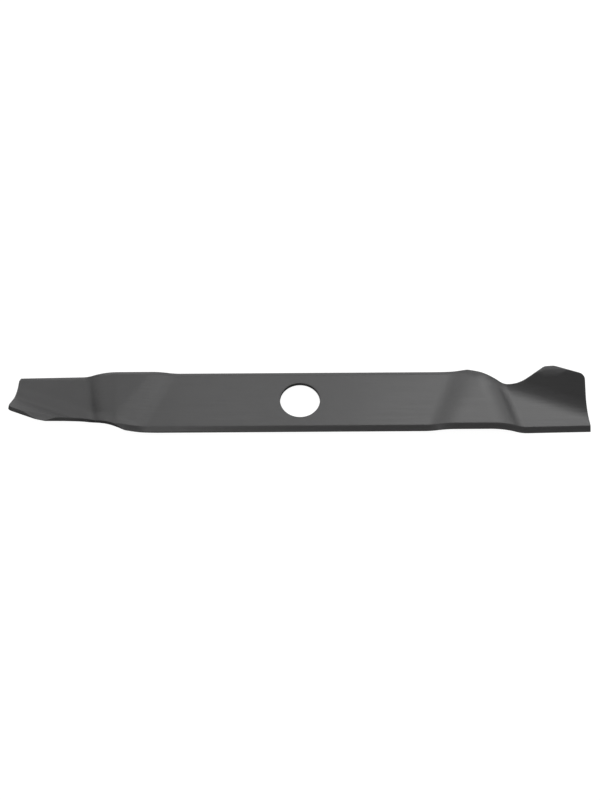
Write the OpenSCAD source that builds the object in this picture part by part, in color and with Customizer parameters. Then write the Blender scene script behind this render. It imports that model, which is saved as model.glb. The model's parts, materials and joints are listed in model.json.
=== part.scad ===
// Rotary mower blade: one length of bevelled bar, punched and then pressed in a die.
// The bore axis is the Z axis, the underside of the clamped middle lies at z = 0, and the
// length runs along X. On the +X arm the cutting edge faces -Y and the sail rises behind it.
// The other arm is the same one turned half a turn about the bore.

/* [Bar] */
// Length from tip to tip
blade_len = 432; // [340:1:560]
// Width over both bevelled edges
bar_w = 52.5; // [46:0.5:62]
// Thickness of the bar
bar_t = 3; // [2.5:0.1:4]
// Width of the bevel along each long edge, seen from above
bevel_w = 3.8; // [2:0.1:6]
// Height of the blunt land left under each bevel
edge_land = 0.5; // [0.3:0.1:1]
// Inset of the cutting edge at the tip, where it is ground
edge_toe = 0.8; // [0:0.1:1.5]

/* [Spindle bore] */
// Diameter of the bore
bore_d = 30; // [16:0.5:34]

/* [Raised arm] */
// From the tip back to where the arm starts to rise, along the cutting edge
rise_at_front = 124.5; // [100:0.5:140]
// From the tip back to where the arm starts to rise, along the rear edge
rise_at_rear = 102; // [95:0.5:140]
// Length of the rise, along the cutting edge
rise_len_front = 22; // [16:0.5:40]
// Length of the rise, along the rear edge
rise_len_rear = 35; // [16:0.5:50]
// Length of the bend that starts the rise
rise_bend = 10; // [4:0.5:14]
// Height of the rise above the clamped middle, along the cutting edge
arm_rise_front = 2.7; // [1:0.1:5]
// Height of the rise above the clamped middle, along the rear edge
arm_rise_rear = 3.5; // [1:0.1:5]

/* [Cutting end] */
// From the tip back to the foot of the drop, along the cutting edge
drop_at_front = 47; // [38:0.5:54]
// From the tip back to the foot of the drop, along the rear edge
drop_at_rear = 59; // [50:0.5:66]
// Length of the drop, along the cutting edge
drop_len_front = 29; // [16:0.5:40]
// Length of the drop, along the rear edge
drop_len_rear = 24; // [16:0.5:40]
// Length of the bend at the foot of the drop
drop_bend = 9; // [4:0.5:14]
// Depth of the cutting end below the clamped middle
end_drop = 4.2; // [1:0.1:8]

/* [Sail] */
// Slope of the sail past its bend
sail_angle = 43.5; // [15:0.5:55]
// Radius of the bend, on the underside
sail_r = 25; // [12:0.5:40]
// Slant of the bend line against the length of the bar
sail_slant = 21.5; // [12:0.5:30]
// From the tip back to where the bend starts on the middle line of the bar
sail_cross = 47.5; // [40:0.5:58]
// How far the sail's edge stands past the rear edge of the bar, along the blank
sail_over = 1.9; // [0:0.1:3]

/* [Notch and end cut] */
// From the tip back to the inner end of the notch
notch_inner = 87; // [80:0.5:92]
// From the tip back to the deepest point of the notch
notch_floor = 53.5; // [48:0.5:58]
// From the tip back to the outer end of the notch
notch_outer = 28.5; // [27:0.5:34]
// Depth of the notch below the bar's edge, measured where its two flanks would meet
notch_depth = 13.6; // [7:0.1:16]
// Radius where the notch leaves the rear edge
notch_inner_r = 6; // [4:1:40]
// Radius at the floor of the notch
notch_floor_r = 28; // [10:1:32]
// Radius of the sail's inner corner
notch_outer_r = 5; // [1:0.5:8]
// From the tip back to the start of the slanted end cut
end_cut_len = 21.5; // [14:0.5:24]
// Fall of the end cut at the tip, below the bar's edge
end_cut_fall = 6; // [2:0.5:12]
// Radius where the end cut starts
end_cut_r = 8; // [1:0.5:12]
// Radius of the sail's outer corner
tip_r = 5.5; // [2:0.5:9]

/* [Hidden] */

// Half of the finished length: the place of each tip
tip_u = blade_len / 2;
half_w = bar_w / 2;
// Edge of the sail in the flat blank
sail_v = half_w + sail_over;
// The middle stays straight up to here, and each formed arm starts here
middle_u = tip_u - max(rise_at_front, rise_at_rear);
// Longest step between two sections of an arm, and the number of strips between the bevels
section_step = 3;
strips = 11;
// Fewest sections along a rounded corner of the outline
corner_sections = 4;
// Narrowest strip that is kept along a cut edge
min_strip = 0.6;
// Half of the span over which the surface's slope is measured
slope_span = 0.01;
// The bore's cutter stands proud of both faces by this much
cut_over = 1;
paint = [0.24, 0.24, 0.25];

function mix(a, b, t) = a + (b - a) * t;
function clamp01(t) = max(0, min(1, t));
// Ramp from 0 to 1 with level ends, steepest at the share s of its length: one parabola up to there
// and another one from there on
function ramp(t, s) = let (c = clamp01(t)) c < s ? c * c / s : 1 - (1 - c) * (1 - c) / (1 - s);
function unit(p) = p / norm(p);
// 0 along the cutting edge of the bar, 1 along its rear edge
function across(v) = (v + half_w) / bar_w;

// Outline of the flat blank

// Corners of the rear edge, as [distance from the bore, distance from the middle line, radius]
rear_corners = [
    [middle_u, half_w, 0],
    [tip_u - notch_inner, half_w, notch_inner_r],
    [tip_u - notch_floor, half_w - notch_depth, notch_floor_r],
    [tip_u - notch_outer, sail_v, notch_outer_r],
    [tip_u - end_cut_len, sail_v, end_cut_r],
    [tip_u, half_w - end_cut_fall, 0]
];
rear_runs = len(rear_corners) - 1;

function run_angle(i) = let (a = rear_corners[i], b = rear_corners[i + 1]) atan2(b.y - a.y, b.x - a.x);
function run_length(i) = let (a = rear_corners[i], b = rear_corners[i + 1]) norm([b.x - a.x, b.y - a.y]);
function corner_turn(i) = run_angle(i) - run_angle(i - 1);
// Radius of corner i, limited so that its arc ends by the middle of the shorter run beside it
function corner_r(i) =
    min(rear_corners[i][2], min(run_length(i - 1), run_length(i)) / 2 / tan(abs(corner_turn(i)) / 2));
function corner_reach(i) = corner_r(i) * tan(abs(corner_turn(i)) / 2);
function arc_start(i) = rear_corners[i].x - corner_reach(i) * cos(run_angle(i - 1));
function arc_end(i) = rear_corners[i].x + corner_reach(i) * cos(run_angle(i));

// Rear edge on the straight run i
function run_v(i, u) = rear_corners[i].y + (u - rear_corners[i].x) * tan(run_angle(i));
// Rear edge on the arc of corner i
function arc_v(i, u) =
    let (
        side = sign(corner_turn(i)),
        r = corner_r(i),
        a = run_angle(i - 1),
        start = arc_start(i),
        centre_u = start - side * r * sin(a),
        centre_v = run_v(i - 1, start) + side * r * cos(a)
    )
    centre_v - side * sqrt(max(0, r * r - pow(u - centre_u, 2)));

// Sail's outer corner: an arc between the end cut and the square end
cut_angle = run_angle(rear_runs - 1);
tip_centre_u = tip_u - tip_r;
tip_centre_v = run_v(rear_runs - 1, tip_centre_u) - tip_r / cos(cut_angle);
tip_start = tip_centre_u - tip_r * sin(cut_angle);
function tip_v(u) = tip_centre_v + sqrt(max(0, tip_r * tip_r - pow(u - tip_centre_u, 2)));

// Rear edge of the blank at the distance u from the bore
function rear_v(u) =
    let (
        run = max([for (i = [0:rear_runs - 1]) u >= rear_corners[i].x ? i : 0]),
        arcs = [for (i = [1:rear_runs - 1]) if (u >= arc_start(i) && u <= arc_end(i)) arc_v(i, u)]
    )
    u >= tip_start ? tip_v(u) : len(arcs) > 0 ? arcs[0] : run_v(run, u);

// Cutting edge of the blank: straight, with a slight ground toe over the cutting end
toe_start = tip_u - drop_at_front;
function front_v(u) = -half_w + edge_toe * clamp01((u - toe_start) / (tip_u - toe_start));

// Line that the rear bevel runs down to: the bar's edge, and past the notch the sail's edge
function bevel_v(u) = u < tip_u - notch_floor ? half_w : sail_v;

// Thickness of the bar: full between the bevels, falling to the land at each bevelled edge
function thickness(u, v) =
    mix(edge_land, bar_t, clamp01(min(v - front_v(u), bevel_v(u) - v) / bevel_w));

// Forming of the flat blank

// Height of the underside: the arm rises after a short bend and runs out level, then it starts to
// drop gently and ends in a short bend, where the cutting end is level again
function joggle(u, v) =
    let (
        t = across(v),
        rise = mix(arm_rise_front, arm_rise_rear, t),
        rise_len = mix(rise_len_front, rise_len_rear, t),
        drop_len = mix(drop_len_front, drop_len_rear, t),
        past_start = u - tip_u + mix(rise_at_front, rise_at_rear, t),
        to_foot = tip_u - mix(drop_at_front, drop_at_rear, t) - u,
        risen = ramp(past_start / rise_len, rise_bend / rise_len),
        dropped = 1 - ramp(to_foot / drop_len, drop_bend / drop_len)
    )
    rise * risen - (rise + end_drop) * dropped;

// The sail rolls up about its slanted bend line, and the metal keeps its length
sail_normal = [sin(sail_slant), cos(sail_slant)];
sail_arc = sail_r * sail_angle * PI / 180;
function formed(u, v) =
    let (
        past = max(0, (u - tip_u + sail_cross) * sail_normal.x + v * sail_normal.y),
        bent = min(past, sail_arc) / sail_r * 180 / PI,
        straight = max(0, past - sail_arc),
        reach = sail_r * sin(bent) + straight * cos(sail_angle),
        lift = sail_r * (1 - cos(bent)) + straight * sin(sail_angle)
    )
    [
        u + (reach - past) * sail_normal.x,
        v + (reach - past) * sail_normal.y,
        joggle(u, v) + lift
    ];
// Upward direction of the formed surface
function surface_up(u, v) =
    unit(cross(
        formed(u + slope_span, v) - formed(u - slope_span, v),
        formed(u, v + slope_span) - formed(u, v - slope_span)
    ));
function top_point(u, v) = formed(u, v) + surface_up(u, v) * thickness(u, v);

// Sections of the arm

// Places of the sections from a up to but not b, evenly spaced
function steps(a, b, fewest = 1) =
    let (n = max(fewest, ceil((b - a) / section_step))) [for (k = [0:n - 1]) mix(a, b, k / n)];
function corner_steps(i) =
    concat(
        steps(i == 1 ? middle_u : arc_end(i - 1), arc_start(i)),
        steps(arc_start(i), arc_end(i), corner_sections)
    );
arc_from = -cut_angle;
stations = concat(
    [for (i = [1:rear_runs - 1]) each corner_steps(i)],
    steps(arc_end(rear_runs - 1), tip_start),
    [for (k = [0:corner_sections]) tip_centre_u + tip_r * sin(mix(arc_from, 90, k / corner_sections))]
);

// Places across one section: cutting edge, bevel, even strips, rear bevel, rear edge
function section_places(u) =
    let (
        front = front_v(u),
        rear = rear_v(u),
        inner = front + bevel_w,
        outer = min(bevel_v(u) - bevel_w, rear - min_strip)
    )
    concat([front], [for (k = [0:strips]) mix(inner, outer, k / strips)], [rear]);
places = strips + 3;

// Solid skin of one arm: an underside grid and a top grid, closed round the edge
module formed_arm() {
    points = [
        for (u = stations) let (row = section_places(u))
            each concat([for (v = row) formed(u, v)], [for (v = row) top_point(u, v)])
    ];
    rows = len(stations);
    last = places - 1;
    function low(i, j) = i * 2 * places + j;
    function high(i, j) = low(i, j) + places;
    skin = [
        for (i = [0:rows - 2], j = [0:last - 1]) each [
            [high(i, j), high(i, j + 1), high(i + 1, j)],
            [high(i, j + 1), high(i + 1, j + 1), high(i + 1, j)],
            [low(i, j), low(i + 1, j), low(i, j + 1)],
            [low(i, j + 1), low(i + 1, j), low(i + 1, j + 1)]
        ]
    ];
    edges = [
        for (i = [0:rows - 2]) each [
            [low(i, 0), high(i, 0), high(i + 1, 0)],
            [low(i, 0), high(i + 1, 0), low(i + 1, 0)],
            [low(i, last), low(i + 1, last), high(i + 1, last)],
            [low(i, last), high(i + 1, last), high(i, last)]
        ]
    ];
    ends = [
        for (j = [0:last - 1]) each [
            [low(0, j), low(0, j + 1), high(0, j + 1)],
            [low(0, j), high(0, j + 1), high(0, j)],
            [low(rows - 1, j), high(rows - 1, j), high(rows - 1, j + 1)],
            [low(rows - 1, j), high(rows - 1, j + 1), low(rows - 1, j + 1)]
        ]
    ];
    polyhedron(points, concat(skin, edges, ends));
}

// Clamped middle: straight bar with a bevel along both edges, drilled for the spindle
module bar_middle() {
    profile = [
        [-half_w, 0],
        [half_w, 0],
        [half_w, edge_land],
        [half_w - bevel_w, bar_t],
        [-half_w + bevel_w, bar_t],
        [-half_w, edge_land]
    ];
    difference() {
        rotate([90, 0, 90])
            linear_extrude(height = 2 * middle_u, center = true)
                polygon(profile);
        translate([0, 0, -cut_over])
            cylinder(d = bore_d, h = bar_t + 2 * cut_over, $fn = 96);
    }
}

module blade() {
    color(paint) union() {
        bar_middle();
        for (turn = [0, 180])
            rotate([0, 0, turn]) formed_arm();
    }
}

blade();
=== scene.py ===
"""Looks of a rotary mower blade: one pressed bar under satin dark grey paint.

The blade is worked out as the press makes it. Its surface is first a flat blank, with u measured
along an arm from the bore and v across the bar from the cutting edge side to the rear side. The
blank is then bent, and each point of the section is set off along the bent surface's own normal.
Sizes of the blade are in millimetres, and its mesh is in metres.
"""

import json
import logging
import math
from dataclasses import dataclass
from enum import Enum

import bmesh
import bpy
import numpy as np
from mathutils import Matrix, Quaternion, Vector
from numpy.typing import NDArray


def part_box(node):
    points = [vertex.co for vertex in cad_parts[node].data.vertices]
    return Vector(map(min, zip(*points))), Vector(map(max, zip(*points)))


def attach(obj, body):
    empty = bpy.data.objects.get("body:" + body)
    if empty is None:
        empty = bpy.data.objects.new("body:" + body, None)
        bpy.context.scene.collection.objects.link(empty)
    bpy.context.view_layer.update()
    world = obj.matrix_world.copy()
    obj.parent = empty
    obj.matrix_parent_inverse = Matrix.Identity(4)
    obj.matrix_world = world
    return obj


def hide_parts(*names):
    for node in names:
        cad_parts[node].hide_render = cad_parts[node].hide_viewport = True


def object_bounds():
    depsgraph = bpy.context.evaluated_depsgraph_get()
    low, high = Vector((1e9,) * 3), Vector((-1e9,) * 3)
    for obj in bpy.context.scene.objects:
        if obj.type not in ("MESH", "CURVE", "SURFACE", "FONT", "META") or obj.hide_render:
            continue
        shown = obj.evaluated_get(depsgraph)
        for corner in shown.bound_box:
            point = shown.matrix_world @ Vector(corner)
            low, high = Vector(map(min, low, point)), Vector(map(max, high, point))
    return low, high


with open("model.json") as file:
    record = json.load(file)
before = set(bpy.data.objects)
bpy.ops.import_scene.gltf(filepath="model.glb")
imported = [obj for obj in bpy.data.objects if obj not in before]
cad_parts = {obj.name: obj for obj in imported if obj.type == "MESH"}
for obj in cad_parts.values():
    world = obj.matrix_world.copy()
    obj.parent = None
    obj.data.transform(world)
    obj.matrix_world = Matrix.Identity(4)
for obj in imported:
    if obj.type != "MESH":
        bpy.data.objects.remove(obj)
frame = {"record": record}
CAD_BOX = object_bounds()

LOG = logging.getLogger("mower_blade")
MM = 0.001

Array = NDArray[np.float64]
Colour = tuple[float, float, float, float]
Socket = bpy.types.NodeSocket
NodeValue = Socket | Colour | tuple[float, float, float] | float

WHITE: Colour = (1.0, 1.0, 1.0, 1.0)
# Factors of x, y and z in a half turn about the bore.
HALF_TURN = np.array([-1.0, -1.0, 1.0])


class Face(Enum):
    """The two broad faces of the bar."""

    UNDERSIDE = "underside"
    TOP = "top"


def mix(start: Array | float, end: Array | float, share: Array | float) -> Array | float:
    """Straight mix of two values: start at share 0, end at share 1."""
    return start + (end - start) * share


def ramp(share: Array, steepest: Array) -> Array:
    """Ramp from 0 to 1 with level ends, made of two parabolas that meet where it is steepest.

    With t held from 0 to 1 and s the steepest place, it is t squared over s up to s, and then 1 less
    (1-t) squared over (1-s).

    Args:
        share: Places along the ramp.
        steepest: The place where it is steepest, between 0 and 1.

    Returns:
        Heights of the ramp.
    """
    held = np.clip(share, 0.0, 1.0)
    return np.where(held < steepest, held**2 / steepest, 1.0 - (1.0 - held) ** 2 / (1.0 - steepest))


def unit(vectors: Array) -> Array:
    """Vectors along the last axis, each divided by its length."""
    return vectors / np.linalg.norm(vectors, axis=-1, keepdims=True)


def rounded_corner(before: Array, corner: Array, after: Array, reach: Array, steps: int) -> Array:
    """Parabola that rounds a corner and touches both of the runs that meet there.

    The parabola is (1-t) squared A + 2 t (1-t) C + t squared B, where C is the corner, and A and B
    lie on the two runs at the given reach from it.

    Args:
        before: A point on the run before the corner, for each section.
        corner: The corner, for each section.
        after: A point on the run after the corner, for each section.
        reach: How far from the corner the rounding starts and ends, for each section.
        steps: Number of steps along the parabola.

    Returns:
        Points of shape (sections, steps + 1, 2).
    """
    start = corner + unit(before - corner) * reach[:, None]
    end = corner + unit(after - corner) * reach[:, None]
    t = np.linspace(0.0, 1.0, steps + 1)[None, :, None]
    return (1 - t) ** 2 * start[:, None] + 2 * t * (1 - t) * corner[:, None] + t**2 * end[:, None]


def straight_run(start: Array, end: Array, shares: Array) -> Array:
    """Points on straight lines, one line for each section.

    Args:
        start: First point of each line, of shape (sections, 2).
        end: Last point of each line, of shape (sections, 2).
        shares: Places along the lines, from 0 to 1.

    Returns:
        Points of shape (sections, len(shares), 2).
    """
    return mix(start[:, None], end[:, None], shares[None, :, None])


def grid_quads(index: NDArray[np.int64], keep: NDArray[np.bool_] | None = None) -> NDArray[np.int64]:
    """Quads of a grid of vertex numbers, facing the side from which its rows turn to its columns.

    Args:
        index: Vertex numbers of shape (rows, columns).
        keep: Which cells get a quad, of shape (rows - 1, columns - 1), or None for all of them.

    Returns:
        Quads of shape (count, 4).
    """
    quads = np.stack([index[:-1, :-1], index[1:, :-1], index[1:, 1:], index[:-1, 1:]], axis=-1)
    return quads.reshape(-1, 4) if keep is None else quads[keep]


@dataclass(frozen=True)
class Corner:
    """Corner of the rear edge: its place along and across the bar, and its radius."""

    u: float
    v: float
    radius: float


@dataclass(frozen=True)
class BladeBlank:
    """Flat blank of one arm: the outline of the bar and the thickness of its section, in mm."""

    length: float
    width: float
    thickness: float
    bevel_w: float = 3.8
    edge_land: float = 0.5
    edge_toe: float = 0.8
    toe_len: float = 47.0
    notch_inner: float = 87.0
    notch_floor: float = 53.5
    notch_outer: float = 28.5
    notch_depth: float = 13.6
    notch_inner_r: float = 6.0
    notch_floor_r: float = 28.0
    notch_outer_r: float = 5.0
    sail_over: float = 1.9
    end_cut_len: float = 21.5
    end_cut_fall: float = 6.0
    end_cut_r: float = 8.0
    tip_r: float = 5.5

    @property
    def tip_u(self) -> float:
        """Distance of the tip from the bore."""
        return self.length / 2

    @property
    def half_w(self) -> float:
        """Half of the bar's width."""
        return self.width / 2

    @property
    def sail_v(self) -> float:
        """Place of the sail's edge across the blank."""
        return self.half_w + self.sail_over

    @property
    def end_cut_angle(self) -> float:
        """Angle by which the end cut falls towards the tip, in radians."""
        return math.atan2(self.sail_over + self.end_cut_fall, self.end_cut_len)

    def rear_corners(self) -> list[Corner]:
        """Corners of the rear edge, from the bore to the tip."""
        return [
            Corner(0.0, self.half_w, 0.0),
            Corner(self.tip_u - self.notch_inner, self.half_w, self.notch_inner_r),
            Corner(self.tip_u - self.notch_floor, self.half_w - self.notch_depth, self.notch_floor_r),
            Corner(self.tip_u - self.notch_outer, self.sail_v, self.notch_outer_r),
            Corner(self.tip_u - self.end_cut_len, self.sail_v, self.end_cut_r),
            Corner(self.tip_u, self.half_w - self.end_cut_fall, 0.0),
        ]

    def front_edge(self, u: Array) -> Array:
        """Cutting edge: straight along the bar, with a slight toe ground over the cutting end."""
        ground = np.clip((u - self.tip_u + self.toe_len) / self.toe_len, 0.0, 1.0)
        return -self.half_w + self.edge_toe * ground

    def rear_edge(self, u: Array) -> Array:
        """Rear edge: straight runs between corners, an arc in each corner, and the arc at the tip.

        A corner of radius r whose runs turn by the angle q is replaced by the arc that touches both
        runs at r tan(q/2) from the corner. The arc at the tip touches the end cut and the square end.

        Args:
            u: Distances from the bore.

        Returns:
            Places of the rear edge across the bar.
        """
        corners = self.rear_corners()
        v = np.interp(u, [c.u for c in corners], [c.v for c in corners])
        for before, corner, after in zip(corners, corners[1:], corners[2:]):
            angle_in = math.atan2(corner.v - before.v, corner.u - before.u)
            angle_out = math.atan2(after.v - corner.v, after.u - corner.u)
            side = math.copysign(1.0, angle_out - angle_in)
            reach = corner.radius * math.tan(abs(angle_out - angle_in) / 2)
            start_u = corner.u - reach * math.cos(angle_in)
            start_v = corner.v - reach * math.sin(angle_in)
            centre_u = start_u - side * corner.radius * math.sin(angle_in)
            centre_v = start_v + side * corner.radius * math.cos(angle_in)
            rise = np.sqrt(np.maximum(0.0, corner.radius**2 - (u - centre_u) ** 2))
            on_arc = (u > start_u) & (u < corner.u + reach * math.cos(angle_out))
            v = np.where(on_arc, centre_v - side * rise, v)
        centre_u, centre_v, start_u = self.tip_arc()
        rise = np.sqrt(np.maximum(0.0, self.tip_r**2 - (u - centre_u) ** 2))
        return np.where(u > start_u, centre_v + rise, v)

    def tip_arc(self) -> tuple[float, float, float]:
        """Arc of the sail's outer corner.

        Returns:
            The arc's centre along and across the bar, and the distance u at which it starts.
        """
        slope = self.end_cut_angle
        centre_u = self.tip_u - self.tip_r
        cut_v = self.sail_v - (centre_u - self.tip_u + self.end_cut_len) * math.tan(slope)
        centre_v = cut_v - self.tip_r / math.cos(slope)
        return centre_u, centre_v, centre_u + self.tip_r * math.sin(slope)

    def bevel_line(self, u: Array) -> Array:
        """Line that the rear bevel runs down to: the bar's edge, and past the notch the sail's edge."""
        return np.where(u < self.tip_u - self.notch_floor, self.half_w, self.sail_v)

    def thickness_at(self, u: Array, v: Array) -> Array:
        """Thickness: full between the bevels, falling straight to the land at each bevelled edge."""
        inside = np.minimum(v - self.front_edge(u), self.bevel_line(u) - v)
        return mix(self.edge_land, self.thickness, np.clip(inside / self.bevel_w, 0.0, 1.0))


@dataclass(frozen=True)
class BladePress:
    """Forming of the blank in the die, in mm and degrees. Places are measured back from the tip."""

    blank: BladeBlank
    rise_at_front: float = 124.5
    rise_at_rear: float = 102.0
    rise_len_front: float = 22.0
    rise_len_rear: float = 35.0
    rise_bend: float = 10.0
    arm_rise_front: float = 2.7
    arm_rise_rear: float = 3.5
    drop_at_front: float = 47.0
    drop_at_rear: float = 59.0
    drop_len_front: float = 29.0
    drop_len_rear: float = 24.0
    drop_bend: float = 9.0
    end_drop: float = 4.2
    sail_angle: float = 43.5
    sail_r: float = 25.0
    sail_slant: float = 21.5
    sail_cross: float = 47.5
    slope_span: float = 0.01

    def joggle(self, u: Array, v: Array) -> Array:
        """Height of the underside.

        The arm rises after a short bend and runs out level, and then it drops gently and ends in a
        short bend. Each ramp's place, length and height change straight across the bar, so that
        the bends run slantwise.

        Args:
            u: Distances from the bore.
            v: Places across the bar.

        Returns:
            Heights above the underside of the clamped middle.
        """
        tip = self.blank.tip_u
        across = (v + self.blank.half_w) / self.blank.width
        rise = mix(self.arm_rise_front, self.arm_rise_rear, across)
        rise_len = mix(self.rise_len_front, self.rise_len_rear, across)
        drop_len = mix(self.drop_len_front, self.drop_len_rear, across)
        past_start = u - tip + mix(self.rise_at_front, self.rise_at_rear, across)
        to_foot = tip - mix(self.drop_at_front, self.drop_at_rear, across) - u
        risen = ramp(past_start / rise_len, self.rise_bend / rise_len)
        dropped = 1.0 - ramp(to_foot / drop_len, self.drop_bend / drop_len)
        return rise * risen - (rise + self.end_drop) * dropped

    def formed(self, u: Array, v: Array) -> Array:
        """Underside of the formed arm.

        The sail rolls up about its slanted bend line: a point at the distance p past the line goes
        round an arc of the bend's radius, and then straight on at the sail's slope, for the length p.

        Args:
            u: Distances from the bore.
            v: Places across the bar.

        Returns:
            Points of shape (*u.shape, 3).
        """
        slant, angle, radius = math.radians(self.sail_slant), math.radians(self.sail_angle), self.sail_r
        along, across = math.sin(slant), math.cos(slant)
        past = np.maximum(0.0, (u - self.blank.tip_u + self.sail_cross) * along + v * across)
        bent = np.minimum(past / radius, angle)
        straight = np.maximum(0.0, past - radius * angle)
        reach = radius * np.sin(bent) + straight * math.cos(angle)
        lift = radius * (1.0 - np.cos(bent)) + straight * math.sin(angle)
        pull = reach - past
        return np.stack([u + pull * along, v + pull * across, self.joggle(u, v) + lift], axis=-1)

    def set_off(self, u: Array, v: Array, height: Array) -> Array:
        """Points set off from the formed underside along its upward normal.

        Args:
            u: Distances from the bore.
            v: Places across the bar.
            height: Distances from the underside.

        Returns:
            Points of shape (*u.shape, 3).
        """
        span = self.slope_span
        slope_u = self.formed(u + span, v) - self.formed(u - span, v)
        slope_v = self.formed(u, v + span) - self.formed(u, v - span)
        return self.formed(u, v) + unit(np.cross(slope_u, slope_v)) * height[..., None]


@dataclass(frozen=True)
class NodeBench:
    """Work bench for one material: adds nodes to its tree and joins them."""

    tree: bpy.types.NodeTree

    def feed(self, node: bpy.types.Node, values: dict[str, NodeValue]) -> None:
        """Fills a node's inputs: another node's output is linked, and a constant is set.

        Args:
            node: The node.
            values: What goes into each input, by the input's name.
        """
        for name, value in values.items():
            if isinstance(value, Socket):
                self.tree.links.new(value, node.inputs[name])
            else:
                node.inputs[name].default_value = value

    def add(self, kind: str, output: str, values: dict[str, NodeValue]) -> Socket:
        """Adds a node.

        Args:
            kind: Blender's name of the node.
            output: Name of the output that is wanted.
            values: What goes into each input, by the input's name.

        Returns:
            The node's output.
        """
        node = self.tree.nodes.new(kind)
        self.feed(node, values)
        return node.outputs[output]

    def noise(self, place: Socket, detail: float, scale: float = 1.0) -> Socket:
        """Cloudy noise from 0 to 1, with the given finer layers and waves per unit of the place."""
        return self.add("ShaderNodeTexNoise", "Fac", {"Vector": place, "Scale": scale, "Detail": detail})

    def between(self, share: Socket, low: NodeValue, high: NodeValue) -> Socket:
        """Number that goes straight from low to high as the share goes from 0 to 1."""
        return self.add("ShaderNodeMapRange", "Result", {"Value": share, "To Min": low, "To Max": high})

    def blend(self, share: Socket, first: NodeValue, second: NodeValue) -> Socket:
        """Mixes two colours.

        Args:
            share: Share of the second colour, from 0 to 1.
            first: The first colour.
            second: The second colour.

        Returns:
            The mixed colour.
        """
        node = self.tree.nodes.new("ShaderNodeMix")
        node.data_type = "RGBA"
        self.feed(node, {"Factor": share, "A": first, "B": second})
        return node.outputs["Result"]

    def attribute(self, name: str) -> Socket:
        """Reads one of the mesh's own attributes.

        Args:
            name: The attribute's name.

        Returns:
            The attribute as a number.
        """
        node = self.tree.nodes.new("ShaderNodeAttribute")
        node.attribute_name = name
        return node.outputs["Fac"]


@dataclass(frozen=True)
class SatinPaint:
    """Satin dark grey paint over a rolled bar, duller on the edges, where a painted highlight makes it
    lighter.

    Scales are in waves per metre, and depths are in metres.
    """

    name: str = "blade_paint"
    colour: Colour = (0.070, 0.0697, 0.0705, 1.0)
    light_mottle: Colour = (0.080, 0.0797, 0.0805, 1.0)
    # Lighter colour on the edges: a painted highlight.
    edge_highlight_colour: Colour = (0.100, 0.0996, 0.1006, 1.0)
    roughness_low: float = 0.24
    roughness_high: float = 0.42
    edge_roughness: float = 0.5
    shine: float = 0.5
    edge_shine: float = 0.2
    mottle_scale: float = 55.0
    mottle_detail: float = 4.0
    streak_scale: tuple[float, float, float] = (18.0, 420.0, 420.0)
    streak_detail: float = 3.0
    peel_scale: float = 1500.0
    peel_detail: float = 2.0
    peel_depth: float = 0.00002
    peel_strength: float = 0.18
    grain_depth: float = 0.00015
    grain_strength: float = 0.6

    def material(self) -> bpy.types.Material:
        """Builds the paint's node tree on object coordinates and the piece's edge attribute.

        A mottle mixes the coat's two colours. Streaks along the bar change its gloss and raise its
        grain, and a fine orange peel lies over the grain. The edge attribute leads over to the
        roughness and shine of the edges, and to a lighter colour there, which is a painted highlight.

        Returns:
            The material.
        """
        material = bpy.data.materials.new(self.name)
        material.use_nodes = True
        bench = NodeBench(material.node_tree)
        place = bench.add("ShaderNodeTexCoord", "Object", {})
        along = bench.add("ShaderNodeMapping", "Vector", {"Vector": place, "Scale": self.streak_scale})
        mottle = bench.noise(place, self.mottle_detail, self.mottle_scale)
        streak = bench.noise(along, self.streak_detail)
        peel = bench.noise(place, self.peel_detail, self.peel_scale)
        edge = bench.attribute(BladePiece.EDGE_ATTRIBUTE)
        coat = bench.blend(mottle, self.colour, self.light_mottle)
        gloss = bench.between(streak, self.roughness_low, self.roughness_high)
        grain = bench.add("ShaderNodeBump", "Normal", {
            "Height": streak, "Distance": self.grain_depth, "Strength": self.grain_strength,
        })
        relief = bench.add("ShaderNodeBump", "Normal", {
            "Height": peel, "Distance": self.peel_depth, "Strength": self.peel_strength, "Normal": grain,
        })
        bench.feed(bench.tree.nodes["Principled BSDF"], {
            # Towards the edges the coat turns to the lighter colour of a painted highlight.
            "Base Color": bench.blend(edge, coat, self.edge_highlight_colour),
            "Roughness": bench.between(edge, gloss, self.edge_roughness),
            "Specular IOR Level": bench.between(edge, self.shine, self.edge_shine),
            "Normal": relief,
        })
        return material


@dataclass(frozen=True)
class FloorCoat:
    """Matt coat of the floor, which glows nearly to white."""

    name: str = "pale_floor"
    colour: Colour = (0.15, 0.15, 0.15, 1.0)
    roughness: float = 0.9
    glow: float = 0.97

    def material(self) -> bpy.types.Material:
        """Builds the coat from constant values.

        Returns:
            The material.
        """
        material = bpy.data.materials.new(self.name)
        material.use_nodes = True
        bench = NodeBench(material.node_tree)
        bench.feed(bench.tree.nodes["Principled BSDF"], {
            "Base Color": self.colour, "Roughness": self.roughness,
            "Emission Color": WHITE, "Emission Strength": self.glow,
        })
        return material


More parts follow.
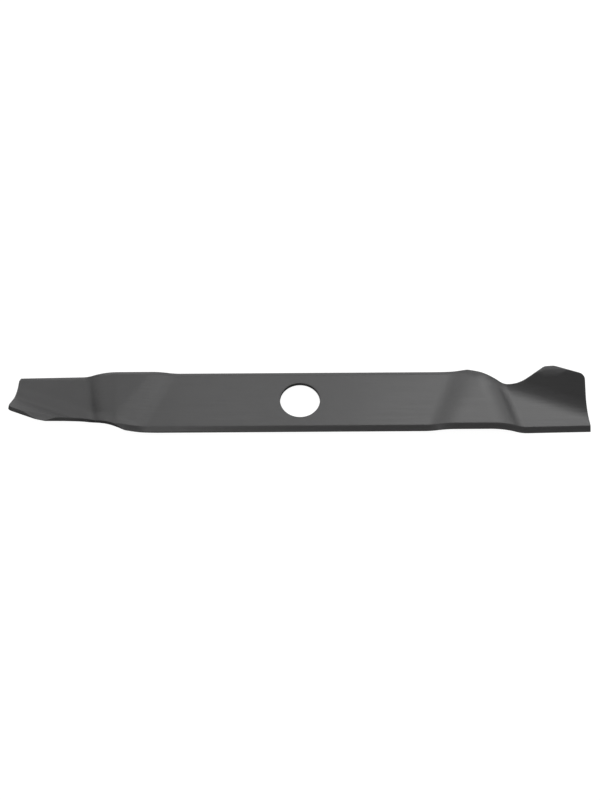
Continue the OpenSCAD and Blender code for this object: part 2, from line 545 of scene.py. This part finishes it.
@dataclass(frozen=True)
class BladePiece:
    """The blade as one closed mesh: two formed arms, and the bore between them. Sizes are in mm."""

    press: BladePress
    paint: SatinPaint
    bore_r: float
    # How far each rounding reaches from its corner, and over what length closeness to an edge fades.
    edge_reach: float = 0.22
    shoulder_reach: float = 0.5
    crest_reach: float = 3.6
    rim_reach: float = 0.15
    end_reach: float = 0.3
    edge_fade: float = 0.35
    # Least width of the strip along the rear edge, the share of a land that its rounding may take, and
    # how many reaches of the edge's rounding the shoulder's rounding leaves free.
    min_strip: float = 0.6
    corner_share: float = 0.4
    corner_gap: float = 1.5
    # How even the flat's columns are, where 0 crowds them at the shoulders, and the power that sets
    # how the rings crowd round the bore.
    flat_evenness: float = 0.8
    ring_crowding: float = 0.8
    # Gaps that are welded and slivers that are dissolved, in metres.
    weld_m: float = 1e-6
    sliver_m: float = 1e-7
    # Lengths and numbers of the grid's steps.
    block_len: float = 28.0
    block_step: float = 1.0
    middle_step: float = 3.5
    arm_step: float = 0.8
    corner_steps: int = 4
    bevel_steps: int = 4
    flat_steps: int = 44
    tip_steps: int = 22
    ring_steps: int = 10

    EDGE_ATTRIBUTE = "edge"

    @property
    def blank(self) -> BladeBlank:
        """The flat blank that the press forms."""
        return self.press.blank

    def stations(self) -> tuple[Array, int]:
        """Distances from the bore at which sections are taken.

        The steps are even within each stretch. Over the sail's outer corner they are even along its
        arc, so the section at u is the arc's centre plus its radius times the sine of the arc's angle.

        Returns:
            The distances, and the number of steps over the block round the bore.
        """
        tip = self.blank.tip_u
        middle = tip - max(self.press.rise_at_front, self.press.rise_at_rear)
        centre_u, _, start_u = self.blank.tip_arc()
        block = np.arange(0.0, self.block_len, self.block_step)
        straight = np.arange(self.block_len, middle, self.middle_step)
        arm = np.linspace(middle, start_u, math.ceil((start_u - middle) / self.arm_step), endpoint=False)
        arc = np.linspace(self.blank.end_cut_angle, math.pi / 2, self.tip_steps + 1)
        return np.concatenate([block, straight, arm, centre_u + self.blank.tip_r * np.sin(arc)]), len(block)

    def section_row(self, u: Array, face: Face) -> tuple[Array, Array, Array]:
        """One face of each section, from the middle of the front edge to that of the rear edge.

        The top goes up the front land, up the bevel, across the flat, and down the rear bevel or
        straight to the cut edge. The underside keeps to height 0. Corners are rounded by parabolas.

        Args:
            u: Distances of the sections from the bore.
            face: Which face of the bar.

        Returns:
            Places across the bar, heights above the underside and closeness to an edge, each of
            shape (sections, points).
        """
        blank = self.blank
        front, rear = blank.front_edge(u), blank.rear_edge(u)
        shoulder_in = front + blank.bevel_w
        shoulder_out = np.minimum(blank.bevel_line(u) - blank.bevel_w, rear - self.min_strip)
        land_in, land_out = blank.thickness_at(u, front), blank.thickness_at(u, rear)
        level_in, level_out = blank.thickness_at(u, shoulder_in), blank.thickness_at(u, shoulder_out)
        if face is Face.UNDERSIDE:
            corner_in = corner_out = flat_in = flat_out = np.zeros_like(u)
        else:
            corner_in, flat_in, flat_out, corner_out = land_in, level_in, level_out, land_out
        start, end = np.stack([front, land_in / 2], -1), np.stack([rear, land_out / 2], -1)
        points = [np.stack(p, -1) for p in (
            (front, corner_in), (shoulder_in, flat_in), (shoulder_out, flat_out), (rear, corner_out),
        )]
        strip = np.linalg.norm(points[3] - points[2], axis=-1)
        edge_in = np.minimum(self.edge_reach, land_in * self.corner_share)
        edge_out = np.minimum(self.edge_reach, np.minimum(land_out, strip) * self.corner_share)
        soft_in = np.full_like(u, self.shoulder_reach)
        soft = np.where(u < blank.tip_u - blank.notch_floor, self.shoulder_reach, self.crest_reach)
        soft_out = np.minimum(soft, strip - edge_out * self.corner_gap)
        bends = [
            rounded_corner(start, points[0], points[1], edge_in, self.corner_steps),
            rounded_corner(points[0], points[1], points[2], soft_in, self.corner_steps),
            rounded_corner(points[1], points[2], points[3], soft_out, self.corner_steps),
            rounded_corner(points[2], points[3], end, edge_out, self.corner_steps),
        ]
        bevel = np.linspace(0.0, 1.0, self.bevel_steps + 1)[1:-1]
        flat = 0.5 - 0.5 * np.cos(np.linspace(0.0, math.pi, self.flat_steps + 1)[1:-1])
        flat = mix(flat, np.linspace(0.0, 1.0, self.flat_steps + 1)[1:-1], self.flat_evenness)
        row = np.concatenate([
            start[:, None], bends[0], straight_run(bends[0][:, -1], bends[1][:, 0], bevel),
            bends[1], straight_run(bends[1][:, -1], bends[2][:, 0], flat),
            bends[2], straight_run(bends[2][:, -1], bends[3][:, 0], bevel), bends[3], end[:, None],
        ], axis=1)
        v, height = row[..., 0], row[..., 1]
        near = np.minimum(v - front[:, None], rear[:, None] - v)
        return v, height, np.exp(-near / self.edge_fade)

    def flat_columns(self) -> tuple[int, int]:
        """First and last column of a section's flat, between the two rounded shoulders.

        Before the flat come the start, the edge's corner, the inner points of the bevel, and the
        shoulder's corner, whose last point is the flat's first.

        Returns:
            The numbers of the two columns.
        """
        corner, inner = self.corner_steps + 1, self.bevel_steps - 1
        first = 1 + corner + inner + corner - 1
        return first, first + self.flat_steps

    def arm_grid(self, u: Array, face: Face) -> tuple[Array, Array]:
        """One face of an arm, with the section drawn in a little over the last stretch to the tip.

        There the section keeps its middle height and shrinks as a quarter round of the end's reach
        does, so that the end's edges are rounded too.

        Args:
            u: Distances of the sections from the bore.
            face: Which face of the bar.

        Returns:
            Points of shape (sections, columns, 3), and closeness to an edge.
        """
        v, height, edge = self.section_row(u, face)
        reach = self.end_reach
        left = np.clip((u - self.blank.tip_u + reach) / reach, 0.0, 1.0)[:, None]
        inset = reach * (1.0 - np.sqrt(1.0 - left**2))
        along = np.broadcast_to(u[:, None], v.shape)
        share = (v - v[:, :1]) / (v[:, -1:] - v[:, :1])
        middle = self.blank.thickness_at(along, v) / 2
        height = middle + (height - middle) * (1.0 - 2.0 * inset / self.blank.thickness)
        edge = np.maximum(edge, np.exp(-(self.blank.tip_u - along) / reach))
        return self.press.set_off(along, v + inset * (1.0 - share), height), edge

    def bore_grid(self, top_rim: Array, low_rim: Array) -> tuple[Array, Array]:
        """Faces round half of the bore, and the bore's wall, as one profile carried round the axis.

        From each point of the block's outline on the top face the profile runs straight in towards the
        axis, rounds the rim by a parabola, goes down the wall, rounds the lower rim and runs out
        again to the point of the block's outline below.

        Args:
            top_rim: Outline of the block on the top face, of shape (points, 3).
            low_rim: Outline of the block on the underside, of shape (points, 3).

        Returns:
            Points of shape (outline points, profile points, 3), and closeness to an edge.
        """
        out = unit(top_rim[:, :2])
        radius, height, reach = self.bore_r, self.blank.thickness, self.rim_reach
        wide = np.array([[radius + reach, height], [radius + reach, 0.0]])
        corner = np.array([[radius, height], [radius, 0.0]])
        wall = np.array([[radius, height / 2], [radius, height / 2]])
        reaches = np.full(2, reach)
        rims = rounded_corner(wide, corner, wall, reaches, self.corner_steps)
        profile = np.concatenate([rims[0], rims[1][::-1]])
        ring = np.concatenate([out[:, None] * profile[None, :, :1], np.broadcast_to(
            profile[None, :, 1:], (len(out), len(profile), 1))], axis=-1)
        shares = np.linspace(0.0, 1.0, self.ring_steps + 1)[:-1] ** self.ring_crowding
        inward = mix(top_rim[:, None], ring[:, :1], shares[None, :, None])
        outward = mix(low_rim[:, None], ring[:, -1:], shares[None, ::-1, None])
        points = np.concatenate([inward, ring, outward], axis=1)
        away = np.hypot(points[..., 0], points[..., 1]) - radius
        return points, np.exp(-away / self.edge_fade)

    def half(self) -> tuple[Array, Array, NDArray[np.int64]]:
        """One arm and its half of the bore, open only on the plane through the bore.

        Returns:
            Points, closeness to an edge for each point, and quads.
        """
        u, block = self.stations()
        (top, top_edge), (low, low_edge) = (self.arm_grid(u, f) for f in (Face.TOP, Face.UNDERSIDE))
        first, last = self.flat_columns()
        outline = (
            np.concatenate([np.arange(block), np.full(last - first, block), np.arange(block, -1, -1)]),
            np.concatenate([np.full(block, first), np.arange(first, last), np.full(block + 1, last)]),
        )
        bore, bore_edge = self.bore_grid(top[outline], low[outline])
        sizes = [top.shape[:2], low.shape[:2], bore.shape[:2]]
        starts = np.cumsum([0] + [rows * columns for rows, columns in sizes])
        numbers = [start + np.arange(rows * columns).reshape(rows, columns)
                   for start, (rows, columns) in zip(starts, sizes)]
        keep = np.ones((len(u) - 1, top.shape[1] - 1), dtype=bool)
        keep[:block, first:last] = False
        end = np.stack([numbers[1][-1], numbers[0][-1]], axis=1)
        quads = np.concatenate([
            grid_quads(numbers[0], keep), grid_quads(numbers[1], keep)[:, ::-1],
            grid_quads(end), grid_quads(numbers[2]),
        ])
        points = np.concatenate([p.reshape(-1, 3) for p in (top, low, bore)])
        edge = np.concatenate([e.ravel() for e in (top_edge, low_edge, bore_edge)])
        used, quads = np.unique(quads, return_inverse=True)
        return points[used], edge[used], quads.reshape(-1, 4)

    def build(self) -> bpy.types.Object:
        """Joins the arm with its copy turned half a turn about the bore, and closes the seams.

        Returns:
            The blade's object, at the origin.
        """
        points, edge, quads = self.half()
        both = np.concatenate([points, points * HALF_TURN]) * MM
        mesh = bpy.data.meshes.new("mower_blade")
        mesh.from_pydata(both, [], np.concatenate([quads, quads + len(points)]))
        attribute = mesh.attributes.new(self.EDGE_ATTRIBUTE, "FLOAT", "POINT")
        attribute.data.foreach_set("value", np.tile(edge, 2).astype(np.float32))
        work = bmesh.new()
        work.from_mesh(mesh)
        bmesh.ops.remove_doubles(work, verts=work.verts, dist=self.weld_m)
        bmesh.ops.dissolve_degenerate(work, dist=self.sliver_m, edges=work.edges)
        work.to_mesh(mesh)
        work.free()
        mesh.polygons.foreach_set("use_smooth", np.ones(len(mesh.polygons), dtype=bool))
        mesh.update()
        piece = bpy.data.objects.new("mower_blade", mesh)
        bpy.context.scene.collection.objects.link(piece)
        return piece

    def dress(self, piece: bpy.types.Object) -> None:
        """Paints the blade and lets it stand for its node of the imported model.

        Args:
            piece: The blade's object.
        """
        piece.data.materials.append(self.paint.material())
        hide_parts("blade")
        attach(piece, "root")


@dataclass(frozen=True)
class Softbox:
    """Square soft light that looks at the bore, in degrees, metres and watts.

    The azimuth goes from behind the blade (+Y) towards its right end (+X).
    """

    name: str
    azimuth: float
    elevation: float
    power: float
    distance: float = 0.8
    size: float = 0.5

    def place(self) -> bpy.types.Object:
        """Makes the light, turned to the bore and hidden from the camera.

        Returns:
            The light's object.
        """
        data = bpy.data.lights.new(self.name, "AREA")
        data.shape = "SQUARE"
        data.size = self.size
        data.energy = self.power
        light = bpy.data.objects.new(self.name, data)
        light.visible_camera = False
        turn, rise = math.radians(self.azimuth), math.radians(self.elevation)
        light.location = self.distance * Vector(
            (math.sin(turn) * math.cos(rise), math.cos(turn) * math.cos(rise), math.sin(rise))
        )
        light.rotation_mode = "QUATERNION"
        light.rotation_quaternion = (-light.location).to_track_quat("-Z", "Y")
        bpy.context.scene.collection.objects.link(light)
        return light


@dataclass(frozen=True)
class Studio:
    """Pale floor, soft light and camera.

    Lengths are in metres, but the sensor's is in millimetres. Angles are in degrees.
    """

    lowest_z: float
    floor_gap: float = 0.0001
    floor_side: float = 8.0
    floor_steps: int = 64
    level_radius: float = 1.2
    wall_height: float = 3.0
    floor_coat: FloorCoat = FloorCoat()
    air_light: float = 0.070
    softboxes: tuple[Softbox, ...] = (
        Softbox("right_low", azimuth=55.0, elevation=28.0, power=0.88),
        Softbox("right", azimuth=45.0, elevation=48.0, power=1.12),
        Softbox("right_high", azimuth=60.0, elevation=62.0, power=1.03),
        Softbox("back_low", azimuth=0.0, elevation=0.0, power=1.28, size=1.0),
        Softbox("back", azimuth=0.0, elevation=50.0, power=0.78),
        Softbox("left_low", azimuth=-50.0, elevation=30.0, power=0.65),
        Softbox("left_high", azimuth=-40.0, elevation=70.0, power=0.70),
        Softbox("front_fill", azimuth=225.0, elevation=50.0, power=1.18),
    )
    camera_elevation: float = 57.6
    camera_turn: float = 0.55
    camera_roll: float = 0.1
    camera_distance: float = 0.5983
    aim_height: float = 0.00275
    focal_pixels: float = 795.25
    image_height: int = 800
    sensor: float = 36.0
    clip_start: float = 0.01

    def floor(self) -> bpy.types.Object:
        """Pale floor just under the blade, which curves up into a backdrop all round.

        At the distance r from the bore it is level up to the level radius a. Beyond that it rises by
        the wall's height times the square of (r-a)/(b-a), where b is half of the floor's side. Only
        the camera sees it, so it casts no light on the blade, and the low soft box shines through it.

        Returns:
            The floor's object.
        """
        half = self.floor_side / 2
        side = np.linspace(-half, half, self.floor_steps + 1)
        x, y = np.meshgrid(side, side, indexing="ij")
        past = np.maximum(0.0, np.hypot(x, y) - self.level_radius) / (half - self.level_radius)
        z = self.lowest_z - self.floor_gap + self.wall_height * past**2
        mesh = bpy.data.meshes.new("floor")
        numbers = np.arange(x.size).reshape(x.shape)
        mesh.from_pydata(np.stack([x, y, z], axis=-1).reshape(-1, 3), [], grid_quads(numbers))
        floor = bpy.data.objects.new("floor", mesh)
        bpy.context.scene.collection.objects.link(floor)
        mesh.materials.append(self.floor_coat.material())
        floor.visible_diffuse = False
        floor.visible_glossy = False
        floor.visible_shadow = False
        return floor

    def light(self) -> None:
        """Soft boxes round the blade, and an even light from the air."""
        for box in self.softboxes:
            box.place()
        world = bpy.data.worlds.new("studio")
        world.use_nodes = True
        air = world.node_tree.nodes["Background"]
        air.inputs["Color"].default_value = WHITE
        air.inputs["Strength"].default_value = self.air_light
        bpy.context.scene.world = world
        bpy.context.scene.view_settings.view_transform = "Standard"

    def camera(self) -> bpy.types.Object:
        """Camera that looks down on the blade from the front, aimed just under the top of the bore.

        The lens gives the focal length in pixels on the image's longer side.

        Returns:
            The camera's object, set as the scene's camera.
        """
        data = bpy.data.cameras.new("camera")
        data.sensor_width = self.sensor
        data.lens = self.focal_pixels * self.sensor / self.image_height
        data.clip_start = self.clip_start
        camera = bpy.data.objects.new("camera", data)
        turn, rise = math.radians(self.camera_turn), math.radians(self.camera_elevation)
        back = Vector((-math.sin(turn) * math.cos(rise), -math.cos(turn) * math.cos(rise), math.sin(rise)))
        camera.location = Vector((0.0, 0.0, self.aim_height)) + back * self.camera_distance
        roll = Quaternion((0.0, 0.0, 1.0), math.radians(self.camera_roll))
        camera.rotation_mode = "QUATERNION"
        camera.rotation_quaternion = (-back).to_track_quat("-Z", "Y") @ roll
        bpy.context.scene.collection.objects.link(camera)
        bpy.context.scene.camera = camera
        return camera


def packed_blade() -> BladePiece:
    """Blade with the length, width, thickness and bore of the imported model.

    The bar's width is that of the box to a tenth of a millimetre, because the tilted edges of the
    bends reach a few micrometres past the bar.

    Returns:
        The blade, ready to build.
    """
    low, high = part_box("blade")
    bore = next(m for m in frame["record"]["mounts"] if m["name"] == "spindle_bore")["dims"]
    blank = BladeBlank(
        length=(high.x - low.x) / MM,
        width=round((high.y - low.y) / MM, 1),
        thickness=bore["length_mm"],
    )
    return BladePiece(press=BladePress(blank), paint=SatinPaint(), bore_r=bore["r_mm"])


def main() -> None:
    """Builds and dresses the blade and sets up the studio."""
    logging.basicConfig(level=logging.INFO, format="%(name)s: %(message)s")
    studio = Studio(lowest_z=CAD_BOX[0].z)
    studio.camera()
    blade = packed_blade()
    piece = blade.build()
    blade.dress(piece)
    LOG.info("%s: %d vertices, %d faces", piece.name, len(piece.data.vertices), len(piece.data.polygons))
    LOG.info("%s: stage", studio.floor().name)
    studio.light()


if __name__ == "__main__":
    main()
